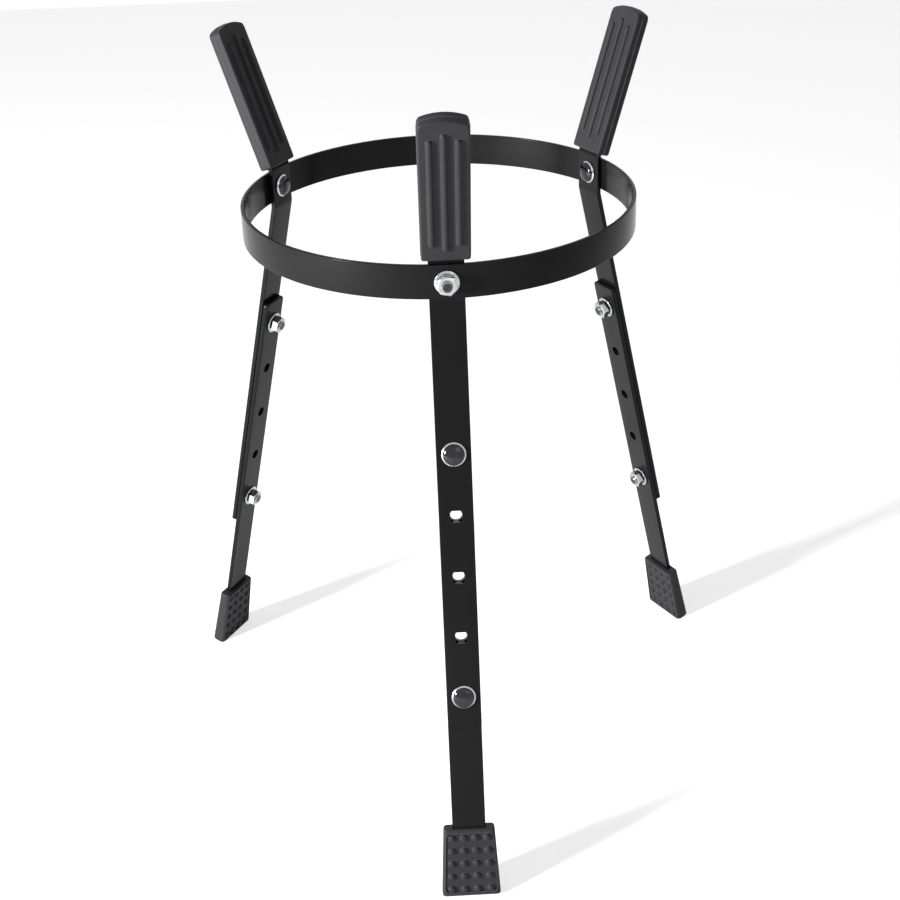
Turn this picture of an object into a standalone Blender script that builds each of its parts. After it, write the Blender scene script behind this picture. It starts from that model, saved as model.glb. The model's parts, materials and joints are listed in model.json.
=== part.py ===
"""Basket conga stand: a steel hoop on three bent flat-bar struts, with rubber grips above and adjustable legs below.

Run it with blender --background --python part.py, or from the Text Editor.
Lengths are metres, +Z is up, and the rubber feet rest on the plane z = 0.
"""

import math

import bmesh
import bpy
from mathutils import Matrix, Vector

MM = 0.001

# Legs
LEG_COUNT = 3
FRONT_LEG_AZIMUTH = math.radians(-90.0)
LEG_TILT = math.radians(13.5)
ARM_TILT = math.radians(20.0)

# Gaps
SEAT_GAP = 0.3 * MM
HOLE_PLAY = 0.3 * MM

# Hoop
HOOP_OUTER_DIAMETER = 300.0 * MM
HOOP_WALL = 3.0 * MM
HOOP_HEIGHT = 25.0 * MM
HOOP_EDGE = 0.5 * MM
HOOP_SEGMENTS = 96

# Flat bar of the struts and lower legs
BAR_WIDTH = 25.0 * MM
BAR_THICKNESS = 4.0 * MM
BAR_EDGE = 0.5 * MM
BAR_CORNER = 3.0 * MM
BEND_RADIUS = 8.0 * MM
BEND_PAST_HOOP = 3.0 * MM
BEND_STEPS = 5
ARM_LENGTH = 104.0 * MM

# Row of holes for the height of the stand
HOLE_COUNT = 5
HOLE_PITCH = 46.0 * MM
BEND_TO_FIRST_HOLE = 109.0 * MM
STRUT_PAST_LAST_HOLE = 24.0 * MM
LOWER_LEG_ABOVE_FIRST_HOLE = 21.0 * MM
LOWER_LEG_LENGTH = 359.0 * MM

# Carriage bolts and flange nuts, M8
BOLT_DIAMETER = 8.0 * MM
BOLT_LENGTH = 18.5 * MM
BOLT_TIP = 0.8 * MM
HEAD_DIAMETER = 17.6 * MM
HEAD_HEIGHT = 4.4 * MM
HEAD_RIM = 0.9 * MM
NECK_WIDTH = 8.0 * MM
NECK_LENGTH = 4.1 * MM
NUT_ACROSS_FLATS = 13.0 * MM
NUT_HEIGHT = 8.0 * MM
FLANGE_DIAMETER = 17.5 * MM
FLANGE_EDGE = 1.2 * MM
FLANGE_SLOPE = 1.0 * MM
NUT_CHAMFER_SLOPE = math.tan(math.radians(30.0))
BOLT_SEGMENTS = 16
NUT_SEGMENTS = 18
BORE_SEGMENTS = 24

# Grips
GRIP_WIDTH = 34.0 * MM
GRIP_THICKNESS = 11.5 * MM
GRIP_START = 1.0 * MM
GRIP_PAST_ARM = 7.0 * MM
GRIP_CROWN = 4.0 * MM
GRIP_TOP_CORNER = 4.0 * MM
GRIP_BOTTOM_CORNER = 2.0 * MM
GRIP_EDGE = 1.2 * MM
CROWN_STEPS = 8
RIB_WIDTH = 5.6 * MM
RIB_PITCH = 9.6 * MM
RIB_HEIGHT = 1.8 * MM
RIB_CROWN_INSET = 1.7 * MM
RIB_ROOT = 0.6 * MM
RIB_START = 14.0 * MM
RIB_TOP_MARGIN = 10.0 * MM
MIDDLE_RIB_EXTRA = 4.5 * MM
RIB_END_STEPS = 6

# Feet
FOOT_SOLE = 10.0 * MM
FOOT_HEIGHT = 56.0 * MM
FOOT_TOP_WIDTH = 38.6 * MM
FOOT_BOTTOM_WIDTH = 44.6 * MM
FOOT_OUTER_WALL = 2.8 * MM
FOOT_INNER_WALL_TOP = 3.7 * MM
FOOT_INNER_WALL_BOTTOM = 5.7 * MM
FOOT_CORNER = 3.0 * MM
FOOT_TOP_EDGE = 1.0 * MM
FOOT_BOTTOM_ROUND = 2.4 * MM
FOOT_FLAT = 8.0 * MM
CORNER_STEPS = 4

# Worked out from the sizes above
GRIP_LENGTH = ARM_LENGTH + GRIP_PAST_ARM
HOOP_INNER_RADIUS = HOOP_OUTER_DIAMETER / 2 - HOOP_WALL
SEAT_RADIUS = math.sqrt(HOOP_INNER_RADIUS**2 - (BAR_WIDTH / 2) ** 2) - SEAT_GAP
BEND_FROM_HOOP_BOLT = HOOP_HEIGHT / 2 + BEND_PAST_HOOP
STRUT_LEG_LENGTH = BEND_TO_FIRST_HOLE + (HOLE_COUNT - 1) * HOLE_PITCH + STRUT_PAST_LAST_HOLE
LOWER_LEG_OUTER_FACE = -(BAR_THICKNESS + SEAT_GAP)
LOWER_LEG_MIDDLE = LOWER_LEG_OUTER_FACE - BAR_THICKNESS / 2
LOWER_LEG_END = LOWER_LEG_ABOVE_FIRST_HOLE - LOWER_LEG_LENGTH
FOOT_BOTTOM = LOWER_LEG_END - FOOT_SOLE
FOOT_INNER_FACE = LOWER_LEG_OUTER_FACE - BAR_THICKNESS - FOOT_INNER_WALL_BOTTOM
FLAT_EDGE = FOOT_INNER_FACE + FOOT_FLAT
LEG_NORMAL = Vector((0.0, math.cos(LEG_TILT), math.sin(LEG_TILT)))
LEG_UP = Vector((0.0, -math.sin(LEG_TILT), math.cos(LEG_TILT)))
FIRST_HOLE = Vector((0.0, 0.0, -BEND_FROM_HOOP_BOLT)) - LEG_UP * BEND_TO_FIRST_HOLE
HOOP_BOLT_HEIGHT = -(FIRST_HOLE + LEG_NORMAL * FLAT_EDGE + LEG_UP * FOOT_BOTTOM).z
CUTTER_REACH = 2 * (HOOP_WALL + BAR_THICKNESS)
AXIS_OUTWARD = Matrix.Rotation(-math.pi / 2, 4, "X")
AXIS_INWARD = Matrix.Rotation(math.pi / 2, 4, "X")


def clear_scene():
    for obj in list(bpy.data.objects):
        bpy.data.objects.remove(obj, do_unlink=True)


def make_material(name, colour, metallic, roughness):
    material = bpy.data.materials.new(name)
    material.use_nodes = True
    shader = material.node_tree.nodes["Principled BSDF"]
    shader.inputs["Base Color"].default_value = (*colour, 1.0)
    shader.inputs["Metallic"].default_value = metallic
    shader.inputs["Roughness"].default_value = roughness
    material.diffuse_color = (*colour, 1.0)
    return material


def link(obj, parent, placed):
    """Puts an object in the scene, at a place given in its parent's frame."""
    bpy.context.scene.collection.objects.link(obj)
    obj.parent = parent
    obj.matrix_local = placed
    return obj


def add_empty(name, parent, placed):
    return link(bpy.data.objects.new(name, None), parent, placed)


def add_piece(name, mesh, material, parent, placed=None):
    mesh.materials.clear()
    mesh.materials.append(material)
    return link(bpy.data.objects.new(name, mesh), parent, placed or Matrix())


def add_cutter(name, mesh, parent, placed=None):
    """A guide for a Boolean, which isn't part of the stand."""
    cutter = link(bpy.data.objects.new(name, mesh), parent, placed or Matrix())
    cutter.hide_render = True
    cutter.display_type = "WIRE"
    return cutter


def add_boolean(obj, cutter, operation="DIFFERENCE"):
    modifier = obj.modifiers.new(cutter.name, "BOOLEAN")
    modifier.operation = operation
    modifier.solver = "EXACT"
    modifier.object = cutter


def add_bevel(obj, width, segments):
    modifier = obj.modifiers.new("edges", "BEVEL")
    modifier.width = width
    modifier.segments = segments
    modifier.limit_method = "ANGLE"
    modifier.angle_limit = math.radians(40.0)


def finish_mesh(name, bm):
    bmesh.ops.recalc_face_normals(bm, faces=bm.faces)
    mesh = bpy.data.meshes.new(name)
    bm.to_mesh(mesh)
    bm.free()
    mesh.shade_smooth()
    mesh.set_sharp_from_angle(angle=math.radians(30.0))
    return mesh


def add_loft(bm, loops):
    """Joins loops of as many points each, one after the other, and closes both ends."""
    rows = [[bm.verts.new(point) for point in loop] for loop in loops]
    for low, high in zip(rows, rows[1:]):
        for i in range(len(low)):
            j = (i + 1) % len(low)
            bm.faces.new((low[i], low[j], high[j], high[i]))
    bm.faces.new(rows[0])
    bm.faces.new(rows[-1])


def add_box(bm, low, high, placed=None):
    """A box between two corners."""
    loops = [
        [Vector((x, y, z)) for x, y in ((low[0], low[1]), (high[0], low[1]), (high[0], high[1]), (low[0], high[1]))]
        for z in (low[2], high[2])
    ]
    add_loft(bm, [[(placed or Matrix()) @ point for point in loop] for loop in loops])


def add_round(bm, radius, length, placed, segments=BORE_SEGMENTS):
    """A cylinder whose axis is +Z from -length to +length."""
    circle = [(radius * math.cos(a), radius * math.sin(a)) for a in turns(segments)]
    add_loft(bm, [[placed @ Vector((x, y, z)) for x, y in circle] for z in (-length, length)])


def turns(count):
    return [math.tau * i / count for i in range(count)]


def fillet(corners, radii, steps):
    """An outline with each corner replaced by an arc. A radius of 0 keeps the corner."""
    outline = []
    for i, (corner, radius) in enumerate(zip(corners, radii)):
        here = Vector(corner)
        if radius == 0:
            outline.append(here)
            continue
        before = (Vector(corners[i - 1]) - here).normalized()
        after = (Vector(corners[(i + 1) % len(corners)]) - here).normalized()
        half_angle = before.angle(after) / 2
        centre = here + (before + after).normalized() * radius / math.sin(half_angle)
        first = (here + before * radius / math.tan(half_angle) - centre).normalized()
        last = (here + after * radius / math.tan(half_angle) - centre).normalized()
        for step in range(steps + 1):
            outline.append(centre + first.slerp(last, step / steps) * radius)
    return outline


def rounded_rectangle(half_width, middle, thickness, radius):
    """(across, outward) points of a rectangle with round corners."""
    inner, outer = middle - thickness / 2, middle + thickness / 2
    corners = ((-half_width, inner), (half_width, inner), (half_width, outer), (-half_width, outer))
    return fillet(corners, [radius] * 4, CORNER_STEPS)


def bend_arc(centre, radius, start, end):
    """(outward, up) points on a face of the bar around a bend, between two tilts of its normal."""
    tilts = [start + (end - start) * step / BEND_STEPS for step in range(BEND_STEPS + 1)]
    return [centre - radius * Vector((math.cos(tilt), math.sin(tilt))) for tilt in tilts]


def strut_side_view():
    """(outward, up) outline of a strut from the hoop bolt: up its outer face and down its inner face."""
    down = Vector((math.sin(LEG_TILT), -math.cos(LEG_TILT)))
    up = Vector((math.sin(ARM_TILT), math.cos(ARM_TILT)))
    foot_normal = Vector((math.cos(LEG_TILT), math.sin(LEG_TILT)))
    arm_normal = Vector((math.cos(ARM_TILT), -math.sin(ARM_TILT)))
    low_centre = Vector((BEND_RADIUS, BEND_RADIUS * math.tan(LEG_TILT / 2) - BEND_FROM_HOOP_BOLT))
    high_centre = Vector((BEND_RADIUS, BEND_FROM_HOOP_BOLT - BEND_RADIUS * math.tan(ARM_TILT / 2)))
    bottom = Vector((0.0, -BEND_FROM_HOOP_BOLT)) + down * STRUT_LEG_LENGTH
    top = Vector((0.0, BEND_FROM_HOOP_BOLT)) + up * ARM_LENGTH
    inner_radius = BEND_RADIUS + BAR_THICKNESS
    outline = [bottom]
    outline += bend_arc(low_centre, BEND_RADIUS, LEG_TILT, 0.0)
    outline += bend_arc(high_centre, BEND_RADIUS, 0.0, -ARM_TILT)
    outline += [top, top - arm_normal * BAR_THICKNESS]
    outline += bend_arc(high_centre, inner_radius, -ARM_TILT, 0.0)
    outline += bend_arc(low_centre, inner_radius, 0.0, LEG_TILT)
    outline += [bottom - foot_normal * BAR_THICKNESS]
    return outline


def strut_mesh():
    bm = bmesh.new()
    side_view = strut_side_view()
    add_loft(bm, [[(x, y, z) for y, z in side_view] for x in (-BAR_WIDTH / 2, BAR_WIDTH / 2)])
    return finish_mesh("strut", bm)


def neck_hole_mesh():
    """Cutter of a strut's square holes: one at the hoop and the row down its leg."""
    bm = bmesh.new()
    half = NECK_WIDTH / 2 + HOLE_PLAY
    reach = CUTTER_REACH / 2
    add_box(bm, (-half, -reach, -half), (half, reach, half))
    for index in range(HOLE_COUNT):
        low = (-half, -reach, -half - index * HOLE_PITCH)
        high = (half, reach, half - index * HOLE_PITCH)
        add_box(bm, low, high, adjusting_place())
    return finish_mesh("neck_holes", bm)


def shank_hole_mesh():
    """Cutter of a lower leg's round holes."""
    bm = bmesh.new()
    for index in range(HOLE_COUNT):
        middle = Matrix.Translation((0.0, LOWER_LEG_MIDDLE, -index * HOLE_PITCH))
        add_round(bm, BOLT_DIAMETER / 2 + HOLE_PLAY, BAR_THICKNESS, middle @ AXIS_OUTWARD)
    return finish_mesh("shank_holes", bm)


def lower_leg_mesh():
    """A flat bar with round corners at its upper end."""
    half = BAR_WIDTH / 2
    corners = (
        (-half, LOWER_LEG_END),
        (half, LOWER_LEG_END),
        (half, LOWER_LEG_ABOVE_FIRST_HOLE),
        (-half, LOWER_LEG_ABOVE_FIRST_HOLE),
    )
    outline = fillet(corners, (0.0, 0.0, BAR_CORNER, BAR_CORNER), CORNER_STEPS)
    faces = (LOWER_LEG_OUTER_FACE, LOWER_LEG_OUTER_FACE - BAR_THICKNESS)
    bm = bmesh.new()
    add_loft(bm, [[(x, y, z) for x, z in outline] for y in faces])
    return finish_mesh("lower_leg", bm)


def hoop_mesh():
    """The band: a rectangle with broken edges, turned about the hoop's axis."""
    outer = HOOP_OUTER_DIAMETER / 2
    half = HOOP_HEIGHT / 2
    section = [
        (HOOP_INNER_RADIUS, half - HOOP_EDGE),
        (HOOP_INNER_RADIUS, HOOP_EDGE - half),
        (HOOP_INNER_RADIUS + HOOP_EDGE, -half),
        (outer - HOOP_EDGE, -half),
        (outer, HOOP_EDGE - half),
        (outer, half - HOOP_EDGE),
        (outer - HOOP_EDGE, half),
        (HOOP_INNER_RADIUS + HOOP_EDGE, half),
    ]
    bm = bmesh.new()
    rows = []
    for angle in turns(HOOP_SEGMENTS):
        rows.append([bm.verts.new((r * math.cos(angle), r * math.sin(angle), z)) for r, z in section])
    for here, after in zip(rows, rows[1:] + rows[:1]):
        for i in range(len(section)):
            j = (i + 1) % len(section)
            bm.faces.new((here[i], here[j], after[j], after[i]))
    return finish_mesh("ring", bm)


def hoop_hole_mesh():
    """Cutter of the hoop's round holes, one at each strut."""
    bm = bmesh.new()
    for azimuth in leg_azimuths():
        place = Matrix.Rotation(azimuth - math.pi / 2, 4, "Z") @ Matrix.Translation((0.0, HOOP_INNER_RADIUS, 0.0))
        add_round(bm, BOLT_DIAMETER / 2 + HOLE_PLAY, HOOP_WALL * 2, place @ AXIS_OUTWARD)
    return finish_mesh("hoop_holes", bm)


def square_radius(width, angle):
    """Distance from the centre of a square to its edge in a direction."""
    return width / 2 / max(abs(math.cos(angle)), abs(math.sin(angle)))


def hexagon_radius(across_flats, angle):
    """Distance from the centre of a hexagon to its edge in a direction, with a corner at angle 0."""
    from_flat = (angle % (math.pi / 3)) - math.pi / 6
    return across_flats / 2 / math.cos(from_flat)


def turned_row(bm, angles, radius, height):
    """A ring of points whose radius and height may depend on the angle."""
    row = []
    for angle in angles:
        r = radius(angle) if callable(radius) else radius
        z = height(angle) if callable(height) else height
        row.append(bm.verts.new((r * math.cos(angle), r * math.sin(angle), z)))
    return row


def join_rows(bm, rows):
    for low, high in zip(rows, rows[1:]):
        for i in range(len(low)):
            j = (i + 1) % len(low)
            bm.faces.new((low[i], low[j], high[j], high[i]))


def bolt_mesh():
    """A carriage bolt on +Z: the dome head above 0, the square neck and the shank below."""
    bm = bmesh.new()
    angles = turns(BOLT_SEGMENTS)
    head, shank = HEAD_DIAMETER / 2, BOLT_DIAMETER / 2

    def neck(angle):
        return square_radius(NECK_WIDTH, angle)

    rows = [
        turned_row(bm, angles, shank - BOLT_TIP, -BOLT_LENGTH),
        turned_row(bm, angles, shank, BOLT_TIP - BOLT_LENGTH),
        turned_row(bm, angles, shank, -NECK_LENGTH - SEAT_GAP),
        turned_row(bm, angles, neck, -NECK_LENGTH),
        turned_row(bm, angles, neck, 0.0),
        turned_row(bm, angles, head, 0.0),
        turned_row(bm, angles, head, HEAD_RIM),
    ]
    for climb in (30.0, 60.0):
        lift = math.sin(math.radians(climb)) * (HEAD_HEIGHT - HEAD_RIM)
        rows.append(turned_row(bm, angles, head * math.cos(math.radians(climb)), HEAD_RIM + lift))
    join_rows(bm, rows)
    top = bm.verts.new((0.0, 0.0, HEAD_HEIGHT))
    for i, vert in enumerate(rows[-1]):
        bm.faces.new((vert, rows[-1][(i + 1) % BOLT_SEGMENTS], top))
    bm.faces.new(rows[0])
    return finish_mesh("carriage_bolt", bm)


def nut_mesh():
    """A hexagon flange nut on +Z, its flange's seat at 0."""
    bm = bmesh.new()
    angles = turns(NUT_SEGMENTS)
    bore = BOLT_DIAMETER / 2 + HOLE_PLAY
    top_radius = NUT_ACROSS_FLATS / 2

    def hexagon(angle):
        return hexagon_radius(NUT_ACROSS_FLATS, angle)

    def chamfer_start(angle):
        return NUT_HEIGHT - SEAT_GAP - (hexagon(angle) - top_radius) * NUT_CHAMFER_SLOPE

    rows = [
        turned_row(bm, angles, bore, 0.0),
        turned_row(bm, angles, FLANGE_DIAMETER / 2, 0.0),
        turned_row(bm, angles, FLANGE_DIAMETER / 2, FLANGE_EDGE),
        turned_row(bm, angles, hexagon, FLANGE_EDGE + FLANGE_SLOPE),
        turned_row(bm, angles, hexagon, chamfer_start),
        turned_row(bm, angles, top_radius - SEAT_GAP, NUT_HEIGHT),
        turned_row(bm, angles, bore, NUT_HEIGHT),
    ]
    join_rows(bm, rows + rows[:1])
    return finish_mesh("flange_nut", bm)


def grip_outline():
    """(across, along) outline of a grip's face: square below, arched with round corners above."""
    half = GRIP_WIDTH / 2
    top = GRIP_START + GRIP_LENGTH
    radius = (half**2 + GRIP_CROWN**2) / (2 * GRIP_CROWN)
    sweep = math.asin(half / radius)
    crown = []
    for step in range(1, CROWN_STEPS):
        angle = sweep - 2 * sweep * step / CROWN_STEPS
        crown.append((radius * math.sin(angle), top + GRIP_CROWN - radius * (1 - math.cos(angle))))
    shoulder = [point for point in crown if abs(point[0]) < half - GRIP_TOP_CORNER]
    corners = [(-half, GRIP_START), (half, GRIP_START), (half, top), *shoulder, (-half, top)]
    radii = [GRIP_BOTTOM_CORNER] * 2 + [GRIP_TOP_CORNER] + [0.0] * len(shoulder) + [GRIP_TOP_CORNER]
    return fillet(corners, radii, CORNER_STEPS)


def grip_mesh():
    middle = -BAR_THICKNESS / 2
    outline = grip_outline()
    bm = bmesh.new()
    faces = (middle - GRIP_THICKNESS / 2, middle + GRIP_THICKNESS / 2)
    add_loft(bm, [[(x, y, z) for x, z in outline] for y in faces])
    return finish_mesh("grip", bm)


def grip_pocket_mesh():
    """Cutter of the pocket that slips over the strut's arm."""
    bm = bmesh.new()
    half = BAR_WIDTH / 2 + SEAT_GAP
    low = (-half, -BAR_THICKNESS - SEAT_GAP, GRIP_START - GRIP_EDGE * 4)
    high = (half, SEAT_GAP, ARM_LENGTH + SEAT_GAP)
    add_box(bm, low, high)
    return finish_mesh("grip_pocket", bm)


def rib_outline(half_width, low, high):
    """(across, along) outline of a rib with half-round ends."""
    arc = [math.pi * step / RIB_END_STEPS for step in range(RIB_END_STEPS + 1)]
    upper = [(half_width * math.cos(a), high - half_width + half_width * math.sin(a)) for a in arc]
    lower = [(-half_width * math.cos(a), low + half_width - half_width * math.sin(a)) for a in arc]
    return upper + lower


def grip_rib_mesh():
    """The ribs of both faces, the middle one longer at each end. They reach a little into the grip."""
    bm = bmesh.new()
    middle = -BAR_THICKNESS / 2
    half = RIB_WIDTH / 2
    for side in (-1, 1):
        face = middle + side * GRIP_THICKNESS / 2
        for place in (-1, 0, 1):
            extra = MIDDLE_RIB_EXTRA if place == 0 else 0.0
            low = RIB_START - extra
            high = GRIP_START + GRIP_LENGTH - RIB_TOP_MARGIN + extra
            root = rib_outline(half, low, high)
            crest = rib_outline(half - RIB_CROWN_INSET, low + RIB_CROWN_INSET, high - RIB_CROWN_INSET)
            loops = []
            for outline, lift in ((root, -RIB_ROOT), (crest, RIB_HEIGHT)):
                loops.append([(x + place * RIB_PITCH, face + side * lift, z) for x, z in outline])
            add_loft(bm, loops)
    return finish_mesh("grip_ribs", bm)


def foot_section(drop, inset):
    """(across, outward) outline of a foot at a distance below its top, drawn in by an inset."""
    part = drop / FOOT_HEIGHT
    half_width = (FOOT_TOP_WIDTH + (FOOT_BOTTOM_WIDTH - FOOT_TOP_WIDTH) * part) / 2 - inset
    inner_wall = FOOT_INNER_WALL_TOP + (FOOT_INNER_WALL_BOTTOM - FOOT_INNER_WALL_TOP) * part
    outer = LOWER_LEG_OUTER_FACE + FOOT_OUTER_WALL - inset
    inner = LOWER_LEG_OUTER_FACE - BAR_THICKNESS - inner_wall + inset
    return rounded_rectangle(half_width, (outer + inner) / 2, outer - inner, FOOT_CORNER - inset)


def foot_mesh():
    """A shoe that widens downwards, square to its leg, with round lower edges."""
    stations = [(0.0, FOOT_TOP_EDGE), (FOOT_TOP_EDGE, 0.0), (FOOT_HEIGHT - FOOT_BOTTOM_ROUND, 0.0)]
    for turn in (45.0, 90.0):
        inset = FOOT_BOTTOM_ROUND * (1 - math.cos(math.radians(turn)))
        lift = FOOT_BOTTOM_ROUND * (1 - math.sin(math.radians(turn)))
        stations.append((FOOT_HEIGHT - lift, inset))
    top = FOOT_BOTTOM + FOOT_HEIGHT
    bm = bmesh.new()
    add_loft(bm, [[(x, y, top - drop) for x, y in foot_section(drop, inset)] for drop, inset in stations])
    return finish_mesh("foot", bm)


def floor_cut_mesh():
    """Cutter that takes off what would reach below the floor, and leaves the flat that a foot stands on."""
    floor = Matrix.Translation((0.0, FLAT_EDGE, FOOT_BOTTOM)) @ Matrix.Rotation(-LEG_TILT, 4, "X")
    bm = bmesh.new()
    add_box(bm, (-FOOT_BOTTOM_WIDTH, -FOOT_HEIGHT, -FOOT_HEIGHT), (FOOT_BOTTOM_WIDTH, FOOT_HEIGHT, 0.0), floor)
    return finish_mesh("floor_cut", bm)


def foot_pocket_mesh():
    """Cutter of the pocket that the lower leg's end sits in."""
    bm = bmesh.new()
    half = BAR_WIDTH / 2 + SEAT_GAP
    low = (-half, LOWER_LEG_OUTER_FACE - BAR_THICKNESS - SEAT_GAP, LOWER_LEG_END - SEAT_GAP)
    high = (half, LOWER_LEG_OUTER_FACE + SEAT_GAP, FOOT_BOTTOM + 2 * FOOT_HEIGHT)
    add_box(bm, low, high)
    return finish_mesh("foot_pocket", bm)


def leg_azimuths():
    return [FRONT_LEG_AZIMUTH + angle for angle in turns(LEG_COUNT)]


def leg_place(azimuth):
    """Frame of a strut: origin on its outer face at the hoop bolt, +Y outward, +Z up."""
    turn = Matrix.Rotation(azimuth - math.pi / 2, 4, "Z")
    return turn @ Matrix.Translation((0.0, SEAT_RADIUS, HOOP_BOLT_HEIGHT))


def arm_place():
    """Frame of the arm in a strut's frame: origin at the upper bend, +Z up the arm."""
    return Matrix.Translation((0.0, 0.0, BEND_FROM_HOOP_BOLT)) @ Matrix.Rotation(-ARM_TILT, 4, "X")


def adjusting_place():
    """Frame of the row of holes in a strut's frame: origin at the first hole, +Z up the leg."""
    return Matrix.Translation(FIRST_HOLE) @ Matrix.Rotation(LEG_TILT, 4, "X")


def add_hoop(stand, materials):
    ring = add_piece("ring", hoop_mesh(), materials["steel"], stand, Matrix.Translation((0.0, 0.0, HOOP_BOLT_HEIGHT)))
    add_boolean(ring, add_cutter("hoop_holes", hoop_hole_mesh(), ring))


def add_strut(number, leg, materials):
    strut = add_piece(f"strut_{number}", strut_mesh(), materials["steel"], leg)
    add_bevel(strut, BAR_EDGE, 1)
    add_boolean(strut, add_cutter(f"neck_holes_{number}", neck_hole_mesh(), leg))


def add_grip(number, leg, materials):
    grip = add_piece(f"grip_{number}", grip_mesh(), materials["rubber"], leg, arm_place())
    add_bevel(grip, GRIP_EDGE, 2)
    add_boolean(grip, add_cutter(f"grip_ribs_{number}", grip_rib_mesh(), grip), "UNION")
    add_boolean(grip, add_cutter(f"grip_pocket_{number}", grip_pocket_mesh(), grip))


def add_lower_leg(number, seat, materials):
    bar = add_piece(f"lower_leg_{number}", lower_leg_mesh(), materials["steel"], seat)
    add_bevel(bar, BAR_EDGE, 1)
    add_boolean(bar, add_cutter(f"shank_holes_{number}", shank_hole_mesh(), seat))
    foot = add_piece(f"foot_{number}", foot_mesh(), materials["rubber"], seat)
    add_boolean(foot, add_cutter(f"foot_pocket_{number}", foot_pocket_mesh(), seat))
    add_boolean(foot, add_cutter(f"floor_cut_{number}", floor_cut_mesh(), seat))


def add_hoop_fastener(number, leg, materials):
    """The bolt's head lies inside the strut, and its nut outside the hoop."""
    head_seat = Matrix.Translation((0.0, -BAR_THICKNESS - SEAT_GAP, 0.0))
    nut_seat = Matrix.Translation((0.0, HOOP_OUTER_DIAMETER / 2 - SEAT_RADIUS + SEAT_GAP, 0.0))
    add_piece(f"ring_bolt_{number}", bolt_mesh(), materials["dark_plate"], leg, head_seat @ AXIS_INWARD)
    add_piece(f"ring_nut_{number}", nut_mesh(), materials["zinc"], leg, nut_seat @ AXIS_OUTWARD)


def add_leg_fastener(name, number, height, leg, seat, materials):
    """The bolt's head lies outside the strut, and its nut inside the lower leg."""
    head_seat = Matrix.Translation((0.0, SEAT_GAP, height))
    nut_seat = Matrix.Translation((0.0, LOWER_LEG_OUTER_FACE - BAR_THICKNESS - SEAT_GAP, height))
    bolt_place = adjusting_place() @ head_seat @ AXIS_OUTWARD
    add_piece(f"{name}_bolt_{number}", bolt_mesh(), materials["dark_plate"], leg, bolt_place)
    add_piece(f"{name}_nut_{number}", nut_mesh(), materials["zinc"], seat, nut_seat @ AXIS_INWARD)


def add_leg(number, azimuth, stand, materials):
    leg = add_empty(f"leg_{number}_pivot", stand, leg_place(azimuth))
    seat = add_empty(f"lower_leg_{number}_seat", leg, adjusting_place())
    add_strut(number, leg, materials)
    add_grip(number, leg, materials)
    add_hoop_fastener(number, leg, materials)
    add_lower_leg(number, seat, materials)
    add_leg_fastener("upper", number, 0.0, leg, seat, materials)
    add_leg_fastener("lower", number, -(HOLE_COUNT - 1) * HOLE_PITCH, leg, seat, materials)


def centre_over_floor(stand):
    """Moves the stand so that the middle of its footprint is over the origin."""
    bpy.context.view_layer.update()
    reach = []
    for obj in bpy.data.objects:
        if obj.type == "MESH" and not obj.hide_render:
            reach += [obj.matrix_world @ vertex.co for vertex in obj.data.vertices]
    for axis in (0, 1):
        along = [point[axis] for point in reach]
        stand.location[axis] = -(min(along) + max(along)) / 2


def main():
    clear_scene()
    materials = {
        "steel": make_material("gloss_black_steel", (0.012, 0.012, 0.013), 0.0, 0.22),
        "rubber": make_material("moulded_rubber", (0.035, 0.035, 0.037), 0.0, 0.55),
        "dark_plate": make_material("dark_plated_steel", (0.22, 0.22, 0.23), 1.0, 0.25),
        "zinc": make_material("zinc_plated_steel", (0.72, 0.72, 0.74), 1.0, 0.25),
    }
    stand = add_empty("stand", None, Matrix())
    add_hoop(stand, materials)
    for index, azimuth in enumerate(leg_azimuths()):
        add_leg(index + 1, azimuth, stand, materials)
    centre_over_floor(stand)


main()
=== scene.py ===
"""Looks of the basket conga stand: the finish of every surface, and its moulded, turned and plated detail."""

import json
import math

import bpy
from bpy.props import FloatProperty, FloatVectorProperty, IntProperty, PointerProperty, StringProperty
from mathutils import Euler, Matrix, Vector


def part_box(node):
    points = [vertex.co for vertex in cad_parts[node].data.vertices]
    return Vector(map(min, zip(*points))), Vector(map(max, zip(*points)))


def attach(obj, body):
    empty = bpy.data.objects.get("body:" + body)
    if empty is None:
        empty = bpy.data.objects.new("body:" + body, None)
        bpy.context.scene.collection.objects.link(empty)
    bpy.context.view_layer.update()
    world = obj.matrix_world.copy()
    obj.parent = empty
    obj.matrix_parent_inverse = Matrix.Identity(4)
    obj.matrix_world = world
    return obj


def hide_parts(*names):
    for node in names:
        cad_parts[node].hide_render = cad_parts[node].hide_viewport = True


bl_info = {
    "name": "Basket conga stand",
    "version": (1, 0, 0),
    "blender": (4, 5, 0),
    "location": "3D View > Sidebar > Stand",
    "description": "Dresses the frame of a basket conga stand in its paint, rubber and plating",
    "category": "Object",
}

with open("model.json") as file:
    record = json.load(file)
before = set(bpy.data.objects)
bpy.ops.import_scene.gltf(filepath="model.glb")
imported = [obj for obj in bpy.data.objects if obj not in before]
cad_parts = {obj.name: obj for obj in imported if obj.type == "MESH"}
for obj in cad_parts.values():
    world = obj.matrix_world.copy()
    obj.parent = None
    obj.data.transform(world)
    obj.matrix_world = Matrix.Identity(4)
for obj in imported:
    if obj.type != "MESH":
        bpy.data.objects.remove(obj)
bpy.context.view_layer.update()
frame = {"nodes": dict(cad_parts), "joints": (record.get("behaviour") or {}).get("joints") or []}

MM = 0.001
LEGS = (1, 2, 3)
PIVOTS = {joint["child"]: joint for joint in frame["joints"]}

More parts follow.
